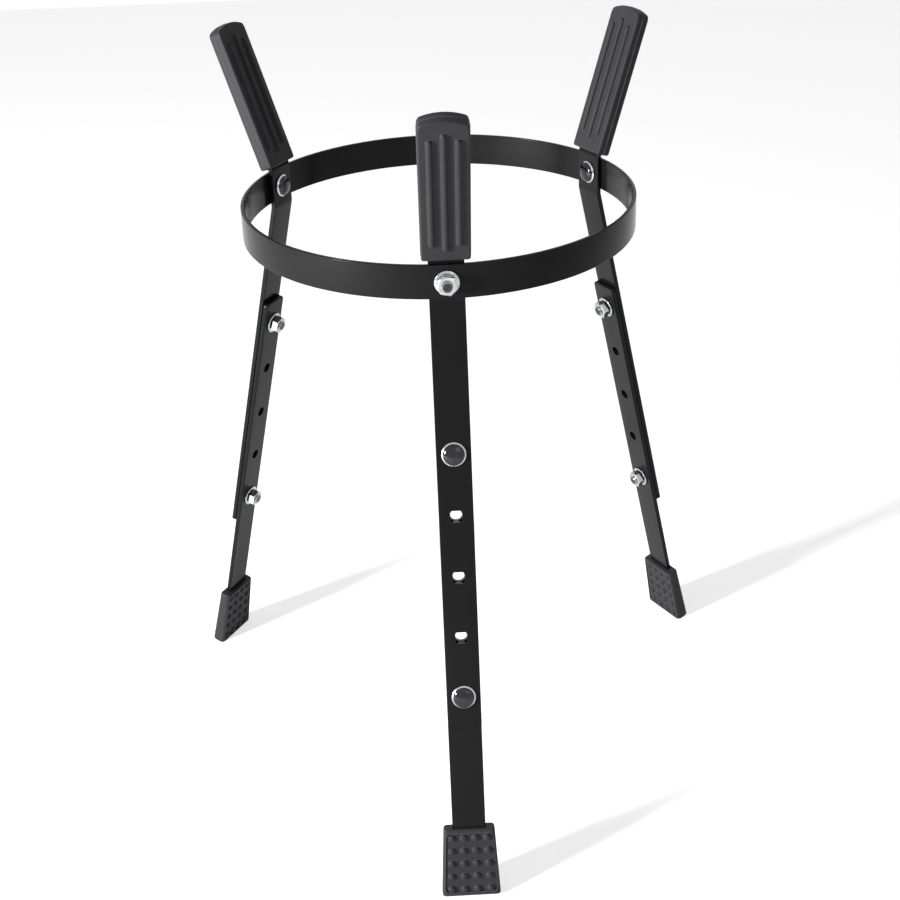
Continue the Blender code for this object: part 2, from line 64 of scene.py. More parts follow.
# Places on a leg, as the frame has them
LEG_TILT = math.radians(13.5)
ARM_TILT = math.radians(20.0)
BAR_THICKNESS = 4.0 * MM
BAR_WIDTH = 25.0 * MM
SEAT_GAP = 0.3 * MM
BEND_FROM_BOLT = 15.5 * MM
BEND_TO_FIRST_HOLE = 109.0 * MM
HOLE_PITCH = 46.0 * MM
HOLE_COUNT = 5
ARM_LENGTH = 104.0 * MM
HOOP_WALL_FROM_SEAT = 3.83 * MM
LOWER_BAR_INNER_FACE = -(2 * BAR_THICKNESS + SEAT_GAP)
LOWER_BAR_OUTER_FACE = -(BAR_THICKNESS + SEAT_GAP)
BAR_END = -338.0 * MM
FOOT_SOLE = 10.0 * MM
FOOT_BOTTOM = BAR_END - FOOT_SOLE
FOOT_OUTER_WALL = 2.8 * MM
FOOT_INNER_WALL_TOP = 3.7 * MM
FOOT_INNER_WALL_BOTTOM = 5.7 * MM
FOOT_FLAT = 8.0 * MM
NECK_DEPTH = 4.1 * MM
THREAD_START = 4.0 * MM
NUT_SKIRT = 1.9 * MM
NUT_TURN = math.radians(17.0)
BRIM_TOP = 1.3 * MM
BRIM_EDGE = 0.5 * MM

WHITE = 1.0
FLOOR_WIDTH = 6.0
FLOOR_GLOW = 0.62


def linear(text):
    """An sRGB hex colour as linear red, green, blue and an alpha of 1."""
    parts = [int(text[i : i + 2], 16) / 255 for i in (1, 3, 5)]
    return [part / 12.92 if part <= 0.04045 else ((part + 0.055) / 1.055) ** 2.4 for part in parts] + [1.0]


def srgb(text):
    """Default of a colour property, which holds linear values."""
    return linear(text)[:3]


def measure(name, description, millimetres):
    """A length that a user can change, given in millimetres."""
    return FloatProperty(name=name, description=description, default=millimetres * MM, unit="LENGTH")


class FinishSettings(bpy.types.PropertyGroup):
    """Colours and grain of the stand's finishes."""

    paint: StringProperty(name="Paint", description="Colour of the gloss black paint", default="#0e0e0f")
    rubber: StringProperty(name="Rubber", description="Colour of the moulded rubber", default="#29292b")
    dark_plate: StringProperty(name="Bolt plating", description="Colour of the bolt heads", default="#464648")
    zinc: StringProperty(name="Nut plating", description="Colour of the zinc plate", default="#d2d3d6")
    peel: measure("Orange peel", "Wave length of the paint's skin", 2.2)
    grain: measure("Mould grain", "Grain size of the rubber's mould texture", 0.5)


class GripSettings(bpy.types.PropertyGroup):
    """Sizes of a grip."""

    width: measure("Width", "Width of the sleeve", 34.0)
    thickness: measure("Thickness", "Front to back", 11.5)
    start: measure("Start", "Bottom edge above the bend", 1.0)
    length: measure("Length", "Bottom edge to the top corners", 111.0)
    top_corner: measure("Top corner", "Radius of the top corners", 4.0)
    low_corner: measure("Low corner", "Radius of the low corners", 2.0)
    crown: measure("Crown", "Rise of the arched top", 4.0)
    edge: measure("Edge", "Rounding of the long edges", 1.6)
    rib_width: measure("Rib width", "Width of a rib", 4.6)
    rib_height: measure("Rib height", "Rise of a rib", 2.4)
    rib_pitch: measure("Rib pitch", "Rib to rib", 9.4)
    rib_start: measure("Rib start", "Lower end of the outer ribs above the bend", 14.2)
    rib_below_top: measure("Rib below top", "Top corners down to the outer ribs", 10.0)
    middle_extra: measure("Middle rib", "How much further the middle rib reaches at each end", 4.4)
    rib_count: IntProperty(name="Ribs", description="Ribs on each face", default=3)
    seam_width: measure("Seam width", "Width of the mould line", 0.9)
    seam_rise: measure("Seam rise", "Rise of the mould line", 0.3)


class FootSettings(bpy.types.PropertyGroup):
    """Sizes of a foot."""

    height: measure("Height", "Top to bottom along the leg", 56.0)
    top_width: measure("Top width", "Width at the top", 38.6)
    bottom_width: measure("Bottom width", "Width below", 44.6)
    corner: measure("Corner", "Radius of the upright corners", 3.0)
    top_edge: measure("Top edge", "Rounding of the top edge", 1.5)
    bottom_edge: measure("Bottom edge", "Rounding of the outer bottom edge", 2.4)
    rim: measure("Rim", "Raised rim at the sides", 1.8)
    top_rim: measure("Top rim", "Raised rim at the top", 3.2)
    bottom_rim: measure("Bottom rim", "Raised rim below", 3.8)
    panel_corner: measure("Panel corner", "Corner of the panel", 4.0)
    recess: measure("Recess", "Depth of the panel in the rim", 1.2)
    bump: measure("Bump", "Diameter of a round bump", 5.8)
    bump_height: measure("Bump height", "Rise of a bump", 2.1)
    first_row: measure("First row", "Top row below the top", 7.4)
    row_pitch: measure("Row pitch", "Row to row", 10.6)
    column_share: FloatProperty(name="Column pitch", description="Share of the foot's width", default=0.225)
    columns: IntProperty(name="Columns", description="Bumps across", default=4)
    rows: IntProperty(name="Rows", description="Bumps down", default=5)


class FastenerSettings(bpy.types.PropertyGroup):
    """Sizes of the M8 bolts and nuts."""

    shank: measure("Shank", "Diameter of the thread", 8.0)
    length: measure("Length", "Under the head to the end", 18.5)
    head: measure("Head", "Diameter of the dome head", 17.6)
    brim: measure("Brim", "Width of the brim", 1.0)
    head_height: measure("Head height", "Rise of the dome", 4.4)
    pitch: measure("Pitch", "Thread pitch", 1.25)
    flats: measure("Flats", "Nut across its flats", 13.0)
    flange: measure("Flange", "Diameter of the flange", 17.5)
    nut_height: measure("Nut height", "Height of the nut", 8.0)


class StageSettings(bpy.types.PropertyGroup):
    """Floor, lamps and camera."""

    floor: FloatVectorProperty(
        name="Floor", description="Colour of the floor", subtype="COLOR", size=3, default=srgb("#f4f4f4")
    )
    key_power: FloatProperty(name="Key", description="Watts of the key lamp", default=105.0, unit="POWER")
    fill_power: FloatProperty(name="Fill", description="Watts of the fill lamp", default=5.0, unit="POWER")
    sky: FloatProperty(name="Sky", description="Strength of the even light", default=0.2)


# Materials


def add_node(tree, kind, links=(), **settings):
    """Adds a node with its settings, and links (output socket, input name) pairs into it."""
    node = tree.nodes.new(kind)
    for key, value in settings.items():
        if hasattr(node, key):
            setattr(node, key, value)
        else:
            node.inputs[key.replace("_", " ")].default_value = value
    for source, name in links:
        tree.links.new(source, node.inputs[name])
    return node


def new_material(name):
    """A material with an empty tree, its output and its Principled shader."""
    material = bpy.data.materials.new(name)
    material.use_nodes = True
    tree = material.node_tree
    tree.nodes.clear()
    shader = add_node(tree, "ShaderNodeBsdfPrincipled")
    output = add_node(tree, "ShaderNodeOutputMaterial", [(shader.outputs["BSDF"], "Surface")])
    output.location = (300, 0)
    return material, tree, shader


def surface_point(tree):
    """A point of the piece in the frame's metres."""
    return add_node(tree, "ShaderNodeTexCoord").outputs["Object"]


def edge_band(tree, width):
    """White where two faces meet within a width, where the true and the rounded normal differ."""
    bevel = add_node(tree, "ShaderNodeBevel", samples=6, Radius=width)
    geometry = add_node(tree, "ShaderNodeNewGeometry")
    pair = [(bevel.outputs["Normal"], 0), (geometry.outputs["Normal"], 1)]
    dot = add_node(tree, "ShaderNodeVectorMath", pair, operation="DOT_PRODUCT")
    ramp = add_node(tree, "ShaderNodeMapRange", [(dot.outputs["Value"], "Value")])
    ramp.inputs["From Min"].default_value = 0.98
    ramp.inputs["From Max"].default_value = 0.80
    return ramp.outputs["Result"]


def paint_material(settings):
    """Gloss black powder coat on steel bar, sprayed and baked: a deep black with a faint orange-peel
    skin that breaks up the edges of reflections, a little dust on it, and a lighter colour along its edges."""
    material, tree, shader = new_material("gloss_black_powder_coat")
    point = surface_point(tree)
    # Dust lies in clouds 26 mm wide, and wiping leaves streaks 4 mm wide and 45 mm long
    dust = add_node(tree, "ShaderNodeTexNoise", [(point, "Vector")], Scale=38.0, Detail=6.0, Roughness=0.62)
    wiped = add_node(tree, "ShaderNodeMapping", [(point, "Vector")], Scale=(260.0, 260.0, 22.0))
    along = [(wiped.outputs["Vector"], "Vector")]
    streak = add_node(tree, "ShaderNodeTexNoise", along, Scale=1.0, Detail=3.0)
    colour = add_node(tree, "ShaderNodeMix", [(dust.outputs["Fac"], "Factor")], data_type="RGBA")
    colour.inputs[6].default_value = linear(settings.paint)
    colour.inputs[7].default_value = linear("#161617")
    # Lighter along the edges, in a band half a millimetre wide
    edge = edge_band(tree, 0.5 * MM)
    edge_tone = add_node(tree, "ShaderNodeMix", [(edge, "Factor")], data_type="RGBA")
    tree.links.new(colour.outputs[2], edge_tone.inputs[6])
    edge_tone.inputs[7].default_value = linear("#38383a")
    tree.links.new(edge_tone.outputs[2], shader.inputs["Base Color"])
    rough = add_node(tree, "ShaderNodeMapRange", [(streak.outputs["Fac"], "Value")])
    rough.inputs["To Min"].default_value = 0.14
    rough.inputs["To Max"].default_value = 0.27
    tree.links.new(rough.outputs["Result"], shader.inputs["Roughness"])
    peel = add_node(tree, "ShaderNodeTexNoise", [(point, "Vector")], Scale=1.0 / settings.peel, Detail=1.0)
    height = [(peel.outputs["Fac"], "Height")]
    bump = add_node(tree, "ShaderNodeBump", height, Strength=0.10, Distance=0.06 * MM)
    tree.links.new(bump.outputs["Normal"], shader.inputs["Normal"])
    shader.inputs["IOR"].default_value = 1.5
    shader.inputs["Specular IOR Level"].default_value = 0.10
    return material


def rubber_material(settings):
    """Moulded black rubber, greyed by a fine spark-eroded mould: a soft wide sheen, a grain of half a
    millimetre drawn a little coarse so that it shows, and dust that dulls it in places."""
    material, tree, shader = new_material("moulded_grey_rubber")
    point = surface_point(tree)
    cloud = add_node(tree, "ShaderNodeTexNoise", [(point, "Vector")], Scale=45.0, Detail=5.0, Roughness=0.6)
    colour = add_node(tree, "ShaderNodeMix", [(cloud.outputs["Fac"], "Factor")], data_type="RGBA")
    colour.inputs[6].default_value = linear(settings.rubber)
    colour.inputs[7].default_value = linear("#333335")
    # Lighter along the edges, in a band 0.8 mm wide
    edge = edge_band(tree, 0.8 * MM)
    edge_tone = add_node(tree, "ShaderNodeMix", [(edge, "Factor")], data_type="RGBA")
    tree.links.new(colour.outputs[2], edge_tone.inputs[6])
    edge_tone.inputs[7].default_value = linear("#58585a")
    tree.links.new(edge_tone.outputs[2], shader.inputs["Base Color"])
    rough = add_node(tree, "ShaderNodeMapRange", [(cloud.outputs["Fac"], "Value")])
    rough.inputs["To Min"].default_value = 0.42
    rough.inputs["To Max"].default_value = 0.58
    tree.links.new(rough.outputs["Result"], shader.inputs["Roughness"])
    grain = add_node(tree, "ShaderNodeTexVoronoi", [(point, "Vector")], Scale=1.0 / settings.grain)
    height = [(grain.outputs["Distance"], "Height")]
    bump = add_node(tree, "ShaderNodeBump", height, Strength=0.16, Distance=0.05 * MM)
    tree.links.new(bump.outputs["Normal"], shader.inputs["Normal"])
    shader.inputs["IOR"].default_value = 1.52
    shader.inputs["Specular IOR Level"].default_value = 0.12
    return material


def plating_material(name, plate, tarnish, edge_tone, rim_width, rough_low, rough_high):
    """Electroplated steel: a mirror-like skin over the pressed or turned steel, with fine lines round the
    forging, cloudy patches where the plate is thinner, and a painted highlight along its rims."""
    material, tree, shader = new_material(name)
    point = surface_point(tree)
    cloud = add_node(tree, "ShaderNodeTexNoise", [(point, "Vector")], Scale=320.0, Detail=4.0, Roughness=0.6)
    colour = add_node(tree, "ShaderNodeMix", [(cloud.outputs["Fac"], "Factor")], data_type="RGBA")
    colour.inputs[6].default_value = linear(plate)
    colour.inputs[7].default_value = linear(tarnish)
    # Painted highlight: a lighter colour along the rims, within a width
    rim = add_node(tree, "ShaderNodeMix", [(edge_band(tree, rim_width), "Factor")], data_type="RGBA")
    tree.links.new(colour.outputs[2], rim.inputs[6])
    rim.inputs[7].default_value = linear(edge_tone)
    tree.links.new(rim.outputs[2], shader.inputs["Base Color"])
    rough = add_node(tree, "ShaderNodeMapRange", [(cloud.outputs["Fac"], "Value")])
    rough.inputs["To Min"].default_value = rough_low
    rough.inputs["To Max"].default_value = rough_high
    tree.links.new(rough.outputs["Result"], shader.inputs["Roughness"])
    lines = add_node(tree, "ShaderNodeTexNoise", [(point, "Vector")], Scale=900.0, Detail=2.0)
    height = [(lines.outputs["Fac"], "Height")]
    bump = add_node(tree, "ShaderNodeBump", height, Strength=0.12, Distance=0.03 * MM)
    tree.links.new(bump.outputs["Normal"], shader.inputs["Normal"])
    shader.inputs["Metallic"].default_value = 1.0
    return material


def dark_plate_material(settings):
    """Dark nickel plate on the bolts: a near-black mirror, with a painted highlight round the head's rim."""
    plate = settings.dark_plate
    return plating_material("dark_nickel_plate", plate, "#2c2c2d", "#d0d0d2", 1.3 * MM, 0.10, 0.18)


def zinc_material(settings):
    """Bright zinc plate on the nuts: pale, with a soft mirror, darker dirt in its clouds and a painted
    highlight on its rims.
    """
    return plating_material("bright_zinc_plate", settings.zinc, "#88898c", "#f0f1f3", 0.6 * MM, 0.12, 0.22)


# Modelling


def only(obj):
    """Deselects everything, then selects an object and makes it the active one."""
    bpy.ops.object.select_all(action="DESELECT")
    obj.select_set(True)
    bpy.context.view_layer.objects.active = obj


def name_new(name):
    """Names the object that was just added."""
    obj = bpy.context.active_object
    obj.name = name
    obj.data.name = name
    only(obj)
    return obj


def clear_picks(obj, domain="FACE"):
    """Leaves nothing selected in a mesh, in faces, edges or points."""
    only(obj)
    bpy.ops.object.mode_set(mode="EDIT")
    bpy.ops.mesh.select_mode(type=domain)
    bpy.ops.mesh.select_all(action="DESELECT")
    bpy.ops.object.mode_set(mode="OBJECT")


def work(obj):
    """Edit mode with what code selected."""
    only(obj)
    bpy.ops.object.mode_set(mode="EDIT")


def work_on_all(obj):
    """Edit mode with the whole mesh selected."""
    clear_picks(obj)
    bpy.ops.object.mode_set(mode="EDIT")
    bpy.ops.mesh.select_all(action="SELECT")


def done():
    bpy.ops.object.mode_set(mode="OBJECT")


def pick_faces(obj, test):
    """Selects the faces whose centre and normal pass a test."""
    clear_picks(obj, "FACE")
    for face in obj.data.polygons:
        face.select = test(face.center, face.normal)
    work(obj)


def pick_edges(obj, test):
    """Selects the edges whose two ends pass a test."""
    clear_picks(obj, "EDGE")
    points = obj.data.vertices
    for piece_edge in obj.data.edges:
        first, last = (points[i].co for i in piece_edge.vertices)
        piece_edge.select = test(first, last)
    work(obj)


def pick_points(obj, test):
    """Selects the points that pass a test."""
    clear_picks(obj, "VERT")
    for point in obj.data.vertices:
        point.select = test(point.co)
    work(obj)


def apply_modifier(obj, kind, **settings):
    only(obj)
    modifier = obj.modifiers.new(kind.lower(), kind)
    for key, value in settings.items():
        setattr(modifier, key, value)
    bpy.ops.object.modifier_apply(modifier=modifier.name)


def smooth(obj, degrees=35.0):
    """Smooth shading with sharp edges past an angle, and flat faces kept flat."""
    only(obj)
    bpy.ops.object.shade_smooth_by_angle(angle=math.radians(degrees))
    apply_modifier(obj, "WEIGHTED_NORMAL", keep_sharp=True)


def join(obj, others):
    """Joins other objects into one."""
    bpy.ops.object.select_all(action="DESELECT")
    for other in others:
        other.select_set(True)
    obj.select_set(True)
    bpy.context.view_layer.objects.active = obj
    bpy.ops.object.join()


def place_copy(model, name, place):
    """A copy of a model with its own mesh, its place in the mesh."""
    copy = bpy.data.objects.new(name, model.data.copy())
    copy.data.name = name
    bpy.context.scene.collection.objects.link(copy)
    copy.data.transform(place)
    return copy


def remove(obj):
    bpy.data.objects.remove(obj, do_unlink=True)


def leg_place(number):
    """Frame of a strut: origin on its outer face at the hoop bolt, +Y outward, +Z up."""
    joint = PIVOTS[f"leg_{number}"]
    outward = Vector(joint["axis"]).normalized()
    up = Vector((0.0, 0.0, 1.0))
    across = outward.cross(up)
    turn = Matrix((across, outward, up)).transposed().to_4x4()
    return Matrix.Translation(Vector(joint["pos_m"])) @ turn


def arm_place(number):
    """Frame of the arm: origin at the upper bend, +Z up the arm."""
    tilt = Matrix.Rotation(-ARM_TILT, 4, "X")
    return leg_place(number) @ Matrix.Translation((0.0, 0.0, BEND_FROM_BOLT)) @ tilt


def adjusting_place(number):
    """Frame of the row of holes: origin at the first hole on the strut's outer face, +Z up the leg."""
    tilt = Matrix.Rotation(LEG_TILT, 4, "X")
    down = tilt @ Vector((0.0, 0.0, -BEND_TO_FIRST_HOLE))
    return leg_place(number) @ Matrix.Translation(Vector((0.0, 0.0, -BEND_FROM_BOLT)) + down) @ tilt


def dress(piece, node, body, material):
    """Gives a piece its material, and lets it ride on a body in the place of a frame node."""
    piece.data.materials.clear()
    piece.data.materials.append(material)
    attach(piece, body)
    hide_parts(node)


# Steel


def steel_piece(node, body, material):
    """The node's own shape as one merged mesh, with soft edges on its flat faces."""
    piece = frame["nodes"][node].copy()
    piece.data = piece.data.copy()
    piece.parent = None
    piece.matrix_world = Matrix()
    piece.name = f"{node}_painted"
    piece.data.name = piece.name
    bpy.context.scene.collection.objects.link(piece)
    work_on_all(piece)
    bpy.ops.mesh.remove_doubles(threshold=0.00001)
    bpy.ops.mesh.customdata_custom_splitnormals_clear()
    done()
    smooth(piece, 50.0)
    dress(piece, node, body, material)


# Grips


def grip_plate(settings, name, thickness, grow, edge):
    """A plate with the grip's outline, arched above, on the arm's frame, with round edges on both faces."""
    half_width = settings.width / 2 + grow
    bottom, top = settings.start - grow, settings.start + settings.length
    radius = (half_width**2 + settings.crown**2) / (2 * settings.crown)
    bpy.ops.object.select_all(action="DESELECT")
    bpy.ops.mesh.primitive_grid_add(x_subdivisions=16, y_subdivisions=1, size=1.0)
    plate = name_new(name)
    plate.data.transform(Matrix.Rotation(math.pi / 2, 4, "X"))
    for point in plate.data.vertices:
        point.co.x *= 2 * half_width
        arch = settings.crown + grow - radius + math.sqrt(radius**2 - point.co.x**2)
        point.co.z = top + arch if point.co.z > 0 else bottom
        point.co.y = -BAR_THICKNESS / 2 - thickness / 2
    work_on_all(plate)
    bpy.ops.mesh.dissolve_limited(angle_limit=math.radians(0.5))
    done()
    at_side = half_width - MM / 10
    round_corner(plate, lambda co: abs(co.x) > at_side and co.z > bottom + MM, settings.top_corner + grow)
    round_corner(plate, lambda co: abs(co.x) > at_side and co.z < bottom + MM, settings.low_corner + grow)
    thicken(plate, thickness)
    pick_faces(plate, lambda centre, normal: abs(normal.y) > 0.99)
    bpy.ops.mesh.select_mode(type="EDGE")
    bpy.ops.mesh.region_to_loop()
    bpy.ops.mesh.bevel(offset=edge, segments=4, affect="EDGES")
    done()
    return plate


def round_corner(plate, test, radius):
    """Rounds the corners of a flat plate that pass a test."""
    pick_points(plate, test)
    bpy.ops.mesh.bevel(offset=radius, segments=6, affect="VERTICES")
    done()


def thicken(plate, distance):
    """Makes a flat plate solid, its faces pointing outwards."""
    work_on_all(plate)
    bpy.ops.mesh.extrude_region_move(TRANSFORM_OT_translate={"value": (0.0, distance, 0.0)})
    bpy.ops.mesh.select_all(action="SELECT")
    bpy.ops.mesh.normals_make_consistent(inside=False)
    done()


def cut_arm_pocket(obj):
    """Cuts the pocket that slips over the strut's arm, open below."""
    open_end = 10.0 * MM
    location = (0.0, -BAR_THICKNESS / 2, (ARM_LENGTH - open_end) / 2 + SEAT_GAP)
    cut_pocket(obj, location, ARM_LENGTH + open_end)


def cut_pocket(obj, location, depth):
    """Cuts a pocket as wide and thick as a bar out of an object."""
    size = (BAR_WIDTH + 2 * SEAT_GAP, BAR_THICKNESS + 2 * SEAT_GAP, depth)
    bpy.ops.object.select_all(action="DESELECT")
    bpy.ops.mesh.primitive_cube_add(size=1.0, location=location, scale=size)
    cutter = name_new("pocket")
    bpy.ops.object.transform_apply(location=True, rotation=True, scale=True)
    apply_modifier(obj, "BOOLEAN", object=cutter, operation="DIFFERENCE", solver="EXACT")
    remove(cutter)


def rib(settings, side, across, low, high):
    """A half-round bar with round ends, sunk by half in a face of the grip."""
    face = -BAR_THICKNESS / 2 + side * settings.thickness / 2
    half = settings.rib_width / 2
    bpy.ops.object.select_all(action="DESELECT")
    bpy.ops.mesh.primitive_uv_sphere_add(segments=24, ring_count=12, radius=half, location=(0.0, 0.0, 0.0))
    bar = name_new("rib")
    pick_points(bar, lambda co: co.z > MM / 100)
    bpy.ops.transform.translate(value=(0.0, 0.0, high - low - settings.rib_width))
    done()
    flatten = settings.rib_height / half
    bar.data.transform(Matrix.Diagonal((1.0, flatten, 1.0, 1.0)))
    bar.data.transform(Matrix.Translation((across, face, low + half)))
    return bar


def grip_model(settings):
    """The sleeve, the thin line that its mould's halves leave round it, and its ribs."""
    sleeve = grip_plate(settings, "grip_model", settings.thickness, 0.0, settings.edge)
    seam = grip_plate(settings, "seam", settings.seam_width, settings.seam_rise, settings.seam_width / 4)
    parts = [seam]
    for plate in (sleeve, seam):
        cut_arm_pocket(plate)
    top = settings.start + settings.length
    middle_rib = settings.rib_count // 2
    for side in (-1, 1):
        for index in range(settings.rib_count):
            extra = settings.middle_extra if index == middle_rib else 0.0
            across = (index - middle_rib) * settings.rib_pitch
            high = top - settings.rib_below_top + extra
            parts.append(rib(settings, side, across, settings.rib_start - extra, high))
    join(sleeve, parts)
    smooth(sleeve, 40.0)
    return sleeve


# Feet


def foot_shell(settings):
    """The shoe on the adjusting frame: wedge sides, rim, pocket and the flat that it stands on."""
    bottom, top = FOOT_BOTTOM, FOOT_BOTTOM + settings.height
    middle, scale = (0.0, 0.0, (bottom + top) / 2), (1.0, 1.0, settings.height)
    bpy.ops.object.select_all(action="DESELECT")
    bpy.ops.mesh.primitive_cube_add(size=1.0, location=middle, scale=scale)
    shell = name_new("foot_model")
    bpy.ops.object.transform_apply(location=True, rotation=True, scale=True)
    for point in shell.data.vertices:
        drop = 0.0 if point.co.z > (bottom + top) / 2 else settings.height
        half, face = foot_face(settings, math.copysign(1.0, point.co.y), drop)
        point.co.xy = math.copysign(half, point.co.x), face
    pick_edges(shell, lambda a, b: abs(a.z - b.z) > settings.height / 2)
    bpy.ops.mesh.bevel(offset=settings.corner, segments=8, affect="EDGES")
    done()
    flat_edge = LOWER_BAR_INNER_FACE - FOOT_INNER_WALL_BOTTOM + FOOT_FLAT
    down = Euler((-LEG_TILT, 0.0, 0.0)).to_matrix() @ Vector((0.0, 0.0, -1.0))
    work_on_all(shell)
    bpy.ops.mesh.bisect(plane_co=(0.0, flat_edge, bottom), plane_no=down, use_fill=True, clear_outer=True)
    done()
    pick_edges(shell, lambda a, b: min(a.z, b.z) > top - MM / 10)
    bpy.ops.mesh.bevel(offset=settings.top_edge, segments=4, affect="EDGES")
    done()
    pick_edges(shell, lambda a, b: max(a.z, b.z) < bottom + MM / 10 and max(a.y, b.y) > flat_edge + MM)
    bpy.ops.mesh.bevel(offset=settings.bottom_edge, segments=4, affect="EDGES")
    done()
    for side in (-1, 1):
        sink_panel(shell, settings, side)
    depth = 100.0 * MM
    middle = (LOWER_BAR_INNER_FACE + LOWER_BAR_OUTER_FACE) / 2
    cut_pocket(shell, (0.0, middle, BAR_END + depth / 2 - SEAT_GAP), depth)
    return shell


def foot_face(settings, side, drop):
    """(half width, place across the bars) of a face of the foot at a drop below its top."""
    part = drop / settings.height
    half = (settings.top_width + (settings.bottom_width - settings.top_width) * part) / 2
    if side > 0:
        return half, LOWER_BAR_OUTER_FACE + FOOT_OUTER_WALL
    wall = FOOT_INNER_WALL_TOP + (FOOT_INNER_WALL_BOTTOM - FOOT_INNER_WALL_TOP) * part
    return half, LOWER_BAR_INNER_FACE - wall


def sink_panel(shell, settings, side):
    """Sinks a panel with round corners in a face of the foot, which leaves its rim."""
    top = FOOT_BOTTOM + settings.height
    bpy.ops.object.select_all(action="DESELECT")
    bpy.ops.mesh.primitive_plane_add(size=1.0)
    panel = name_new("panel")
    panel.data.transform(Matrix.Rotation(math.pi / 2, 4, "X"))
    for point in panel.data.vertices:
        drop = settings.top_rim if point.co.z > 0 else settings.height - settings.bottom_rim
        half, face = foot_face(settings, side, drop)
        point.co = (math.copysign(half - settings.rim, point.co.x), face - side * settings.recess, top - drop)
    round_corner(panel, lambda co: True, settings.panel_corner)
    thicken(panel, side * 3.0 * MM)
    apply_modifier(shell, "BOOLEAN", object=panel, operation="DIFFERENCE", solver="EXACT")
    remove(panel)


def foot_bump(settings, side, across, height, face):
    """A low dome on the sunk panel."""
    bpy.ops.object.select_all(action="DESELECT")
    bpy.ops.mesh.primitive_uv_sphere_add(segments=20, ring_count=10, radius=settings.bump / 2)
    dome = name_new("bump")
    pick_points(dome, lambda co: co.y * side < -settings.bump / 5)
    bpy.ops.mesh.delete(type="VERT")
    done()
    clear_picks(dome, "EDGE")
    bpy.ops.object.mode_set(mode="EDIT")
    bpy.ops.mesh.select_non_manifold()
    bpy.ops.mesh.edge_face_add()
    done()
    flatten = settings.bump_height / (settings.bump / 2)
    dome.data.transform(Matrix.Diagonal((1.0, flatten, 1.0, 1.0)))
    dome.data.transform(Matrix.Translation((across, face, height)))
    return dome


def foot_model(settings):
    """The shoe with its rows of bumps, outside and inside."""
    shell = foot_shell(settings)
    top = FOOT_BOTTOM + settings.height
    domes = []
    for side in (-1, 1):
        for row in range(settings.rows):
            drop = settings.first_row + row * settings.row_pitch
            half, face = foot_face(settings, side, drop)
            pitch = 2 * half * settings.column_share
            for column in range(settings.columns):
                across = (column - (settings.columns - 1) / 2) * pitch
                domes.append(foot_bump(settings, side, across, top - drop, face - side * settings.recess))
    join(shell, domes)
    smooth(shell, 40.0)
    return shell


# Bolts and nuts


def dome_head(settings):
    """Pressed dome on a sloped brim with a thin upright edge, its seat at 0 and its crown towards +Z."""
    dome = settings.head / 2 - settings.brim
    bpy.ops.object.select_all(action="DESELECT")
    bpy.ops.mesh.primitive_uv_sphere_add(segments=48, ring_count=24, radius=dome)
    head = name_new("bolt_model")
    pick_points(head, lambda co: co.z < -MM / 100)
    bpy.ops.mesh.delete(type="VERT")
    done()
    flatten = (settings.head_height - BRIM_TOP) / dome
    head.data.transform(Matrix.Translation((0.0, 0.0, BRIM_TOP)) @ Matrix.Diagonal((1.0, 1.0, flatten, 1.0)))
    clear_picks(head, "EDGE")
    bpy.ops.object.mode_set(mode="EDIT")
    bpy.ops.mesh.select_non_manifold()
    bpy.ops.mesh.extrude_region_move(TRANSFORM_OT_translate={"value": (0.0, 0.0, BRIM_EDGE - BRIM_TOP)})
    widen = settings.head / 2 / dome
    bpy.ops.transform.resize(value=(widen, widen, 1.0))
    bpy.ops.mesh.extrude_region_move(TRANSFORM_OT_translate={"value": (0.0, 0.0, -BRIM_EDGE)})
    bpy.ops.mesh.edge_face_add()
    bpy.ops.mesh.select_all(action="SELECT")
    bpy.ops.mesh.normals_make_consistent(inside=False)
    done()
    return head


def brighten_brim(head, place, settings, material):
    """Gives the brim of a placed head the pale zinc plate, as a painted highlight round the head."""
    head.data.materials.append(material)
    back = place.inverted()
    for face in head.data.polygons:
        centre = back @ face.center
        on_brim = BRIM_EDGE < centre.z < BRIM_TOP and centre.xy.length > settings.head / 2 - settings.brim
        face.material_index = int(on_brim)


def square_neck(settings):
    """The square under a head that holds the bolt in its square hole."""
    middle, scale = (0.0, 0.0, -NECK_DEPTH / 2), (settings.shank, settings.shank, NECK_DEPTH)
    bpy.ops.object.select_all(action="DESELECT")
    bpy.ops.mesh.primitive_cube_add(size=1.0, location=middle, scale=scale)
    neck = name_new("neck")
    bpy.ops.object.transform_apply(location=True, rotation=True, scale=True)
    pick_edges(neck, lambda a, b: abs(a.z - b.z) > MM)
    bpy.ops.mesh.bevel(offset=0.5 * MM, segments=2, affect="EDGES")
    done()
    return neck


def thread(settings):
    """Rolled thread: rings a pitch apart on the shank, down to a chamfered end."""
    crest, root = settings.shank / 2, settings.shank / 2 - 0.52 * settings.pitch
    length = settings.length - THREAD_START
    bpy.ops.object.select_all(action="DESELECT")
    bpy.ops.mesh.primitive_cylinder_add(vertices=40, radius=crest, depth=length, end_fill_type="NGON")
    shank = name_new("thread")
    turns = int(length / settings.pitch)
    pick_edges(shank, lambda a, b: abs(a.z - b.z) > length / 2)
    bpy.ops.mesh.subdivide(number_cuts=2 * turns - 1)
    done()
    step = length / (2 * turns)
    for point in shank.data.vertices:
        row = round((point.co.z + length / 2) / step)
        if row % 2 == 0:
            point.co.xy = point.co.xy.normalized() * root
    shank.data.transform(Matrix.Translation((0.0, 0.0, -THREAD_START - length / 2)))
    return shank


def bolt_model(settings):
    """Head and neck."""
    head = dome_head(settings)
    join(head, [square_neck(settings)])
    smooth(head, 35.0)
    return head


def thread_model(settings):
    """Threaded shank."""
    shank = thread(settings)
    smooth(shank, 25.0)
    return shank


def is_ring(first, last, radius):
    """Whether an edge lies level on a ring."""
    return abs(first.z - last.z) < MM / 100 and first.xy.length > radius - MM / 10


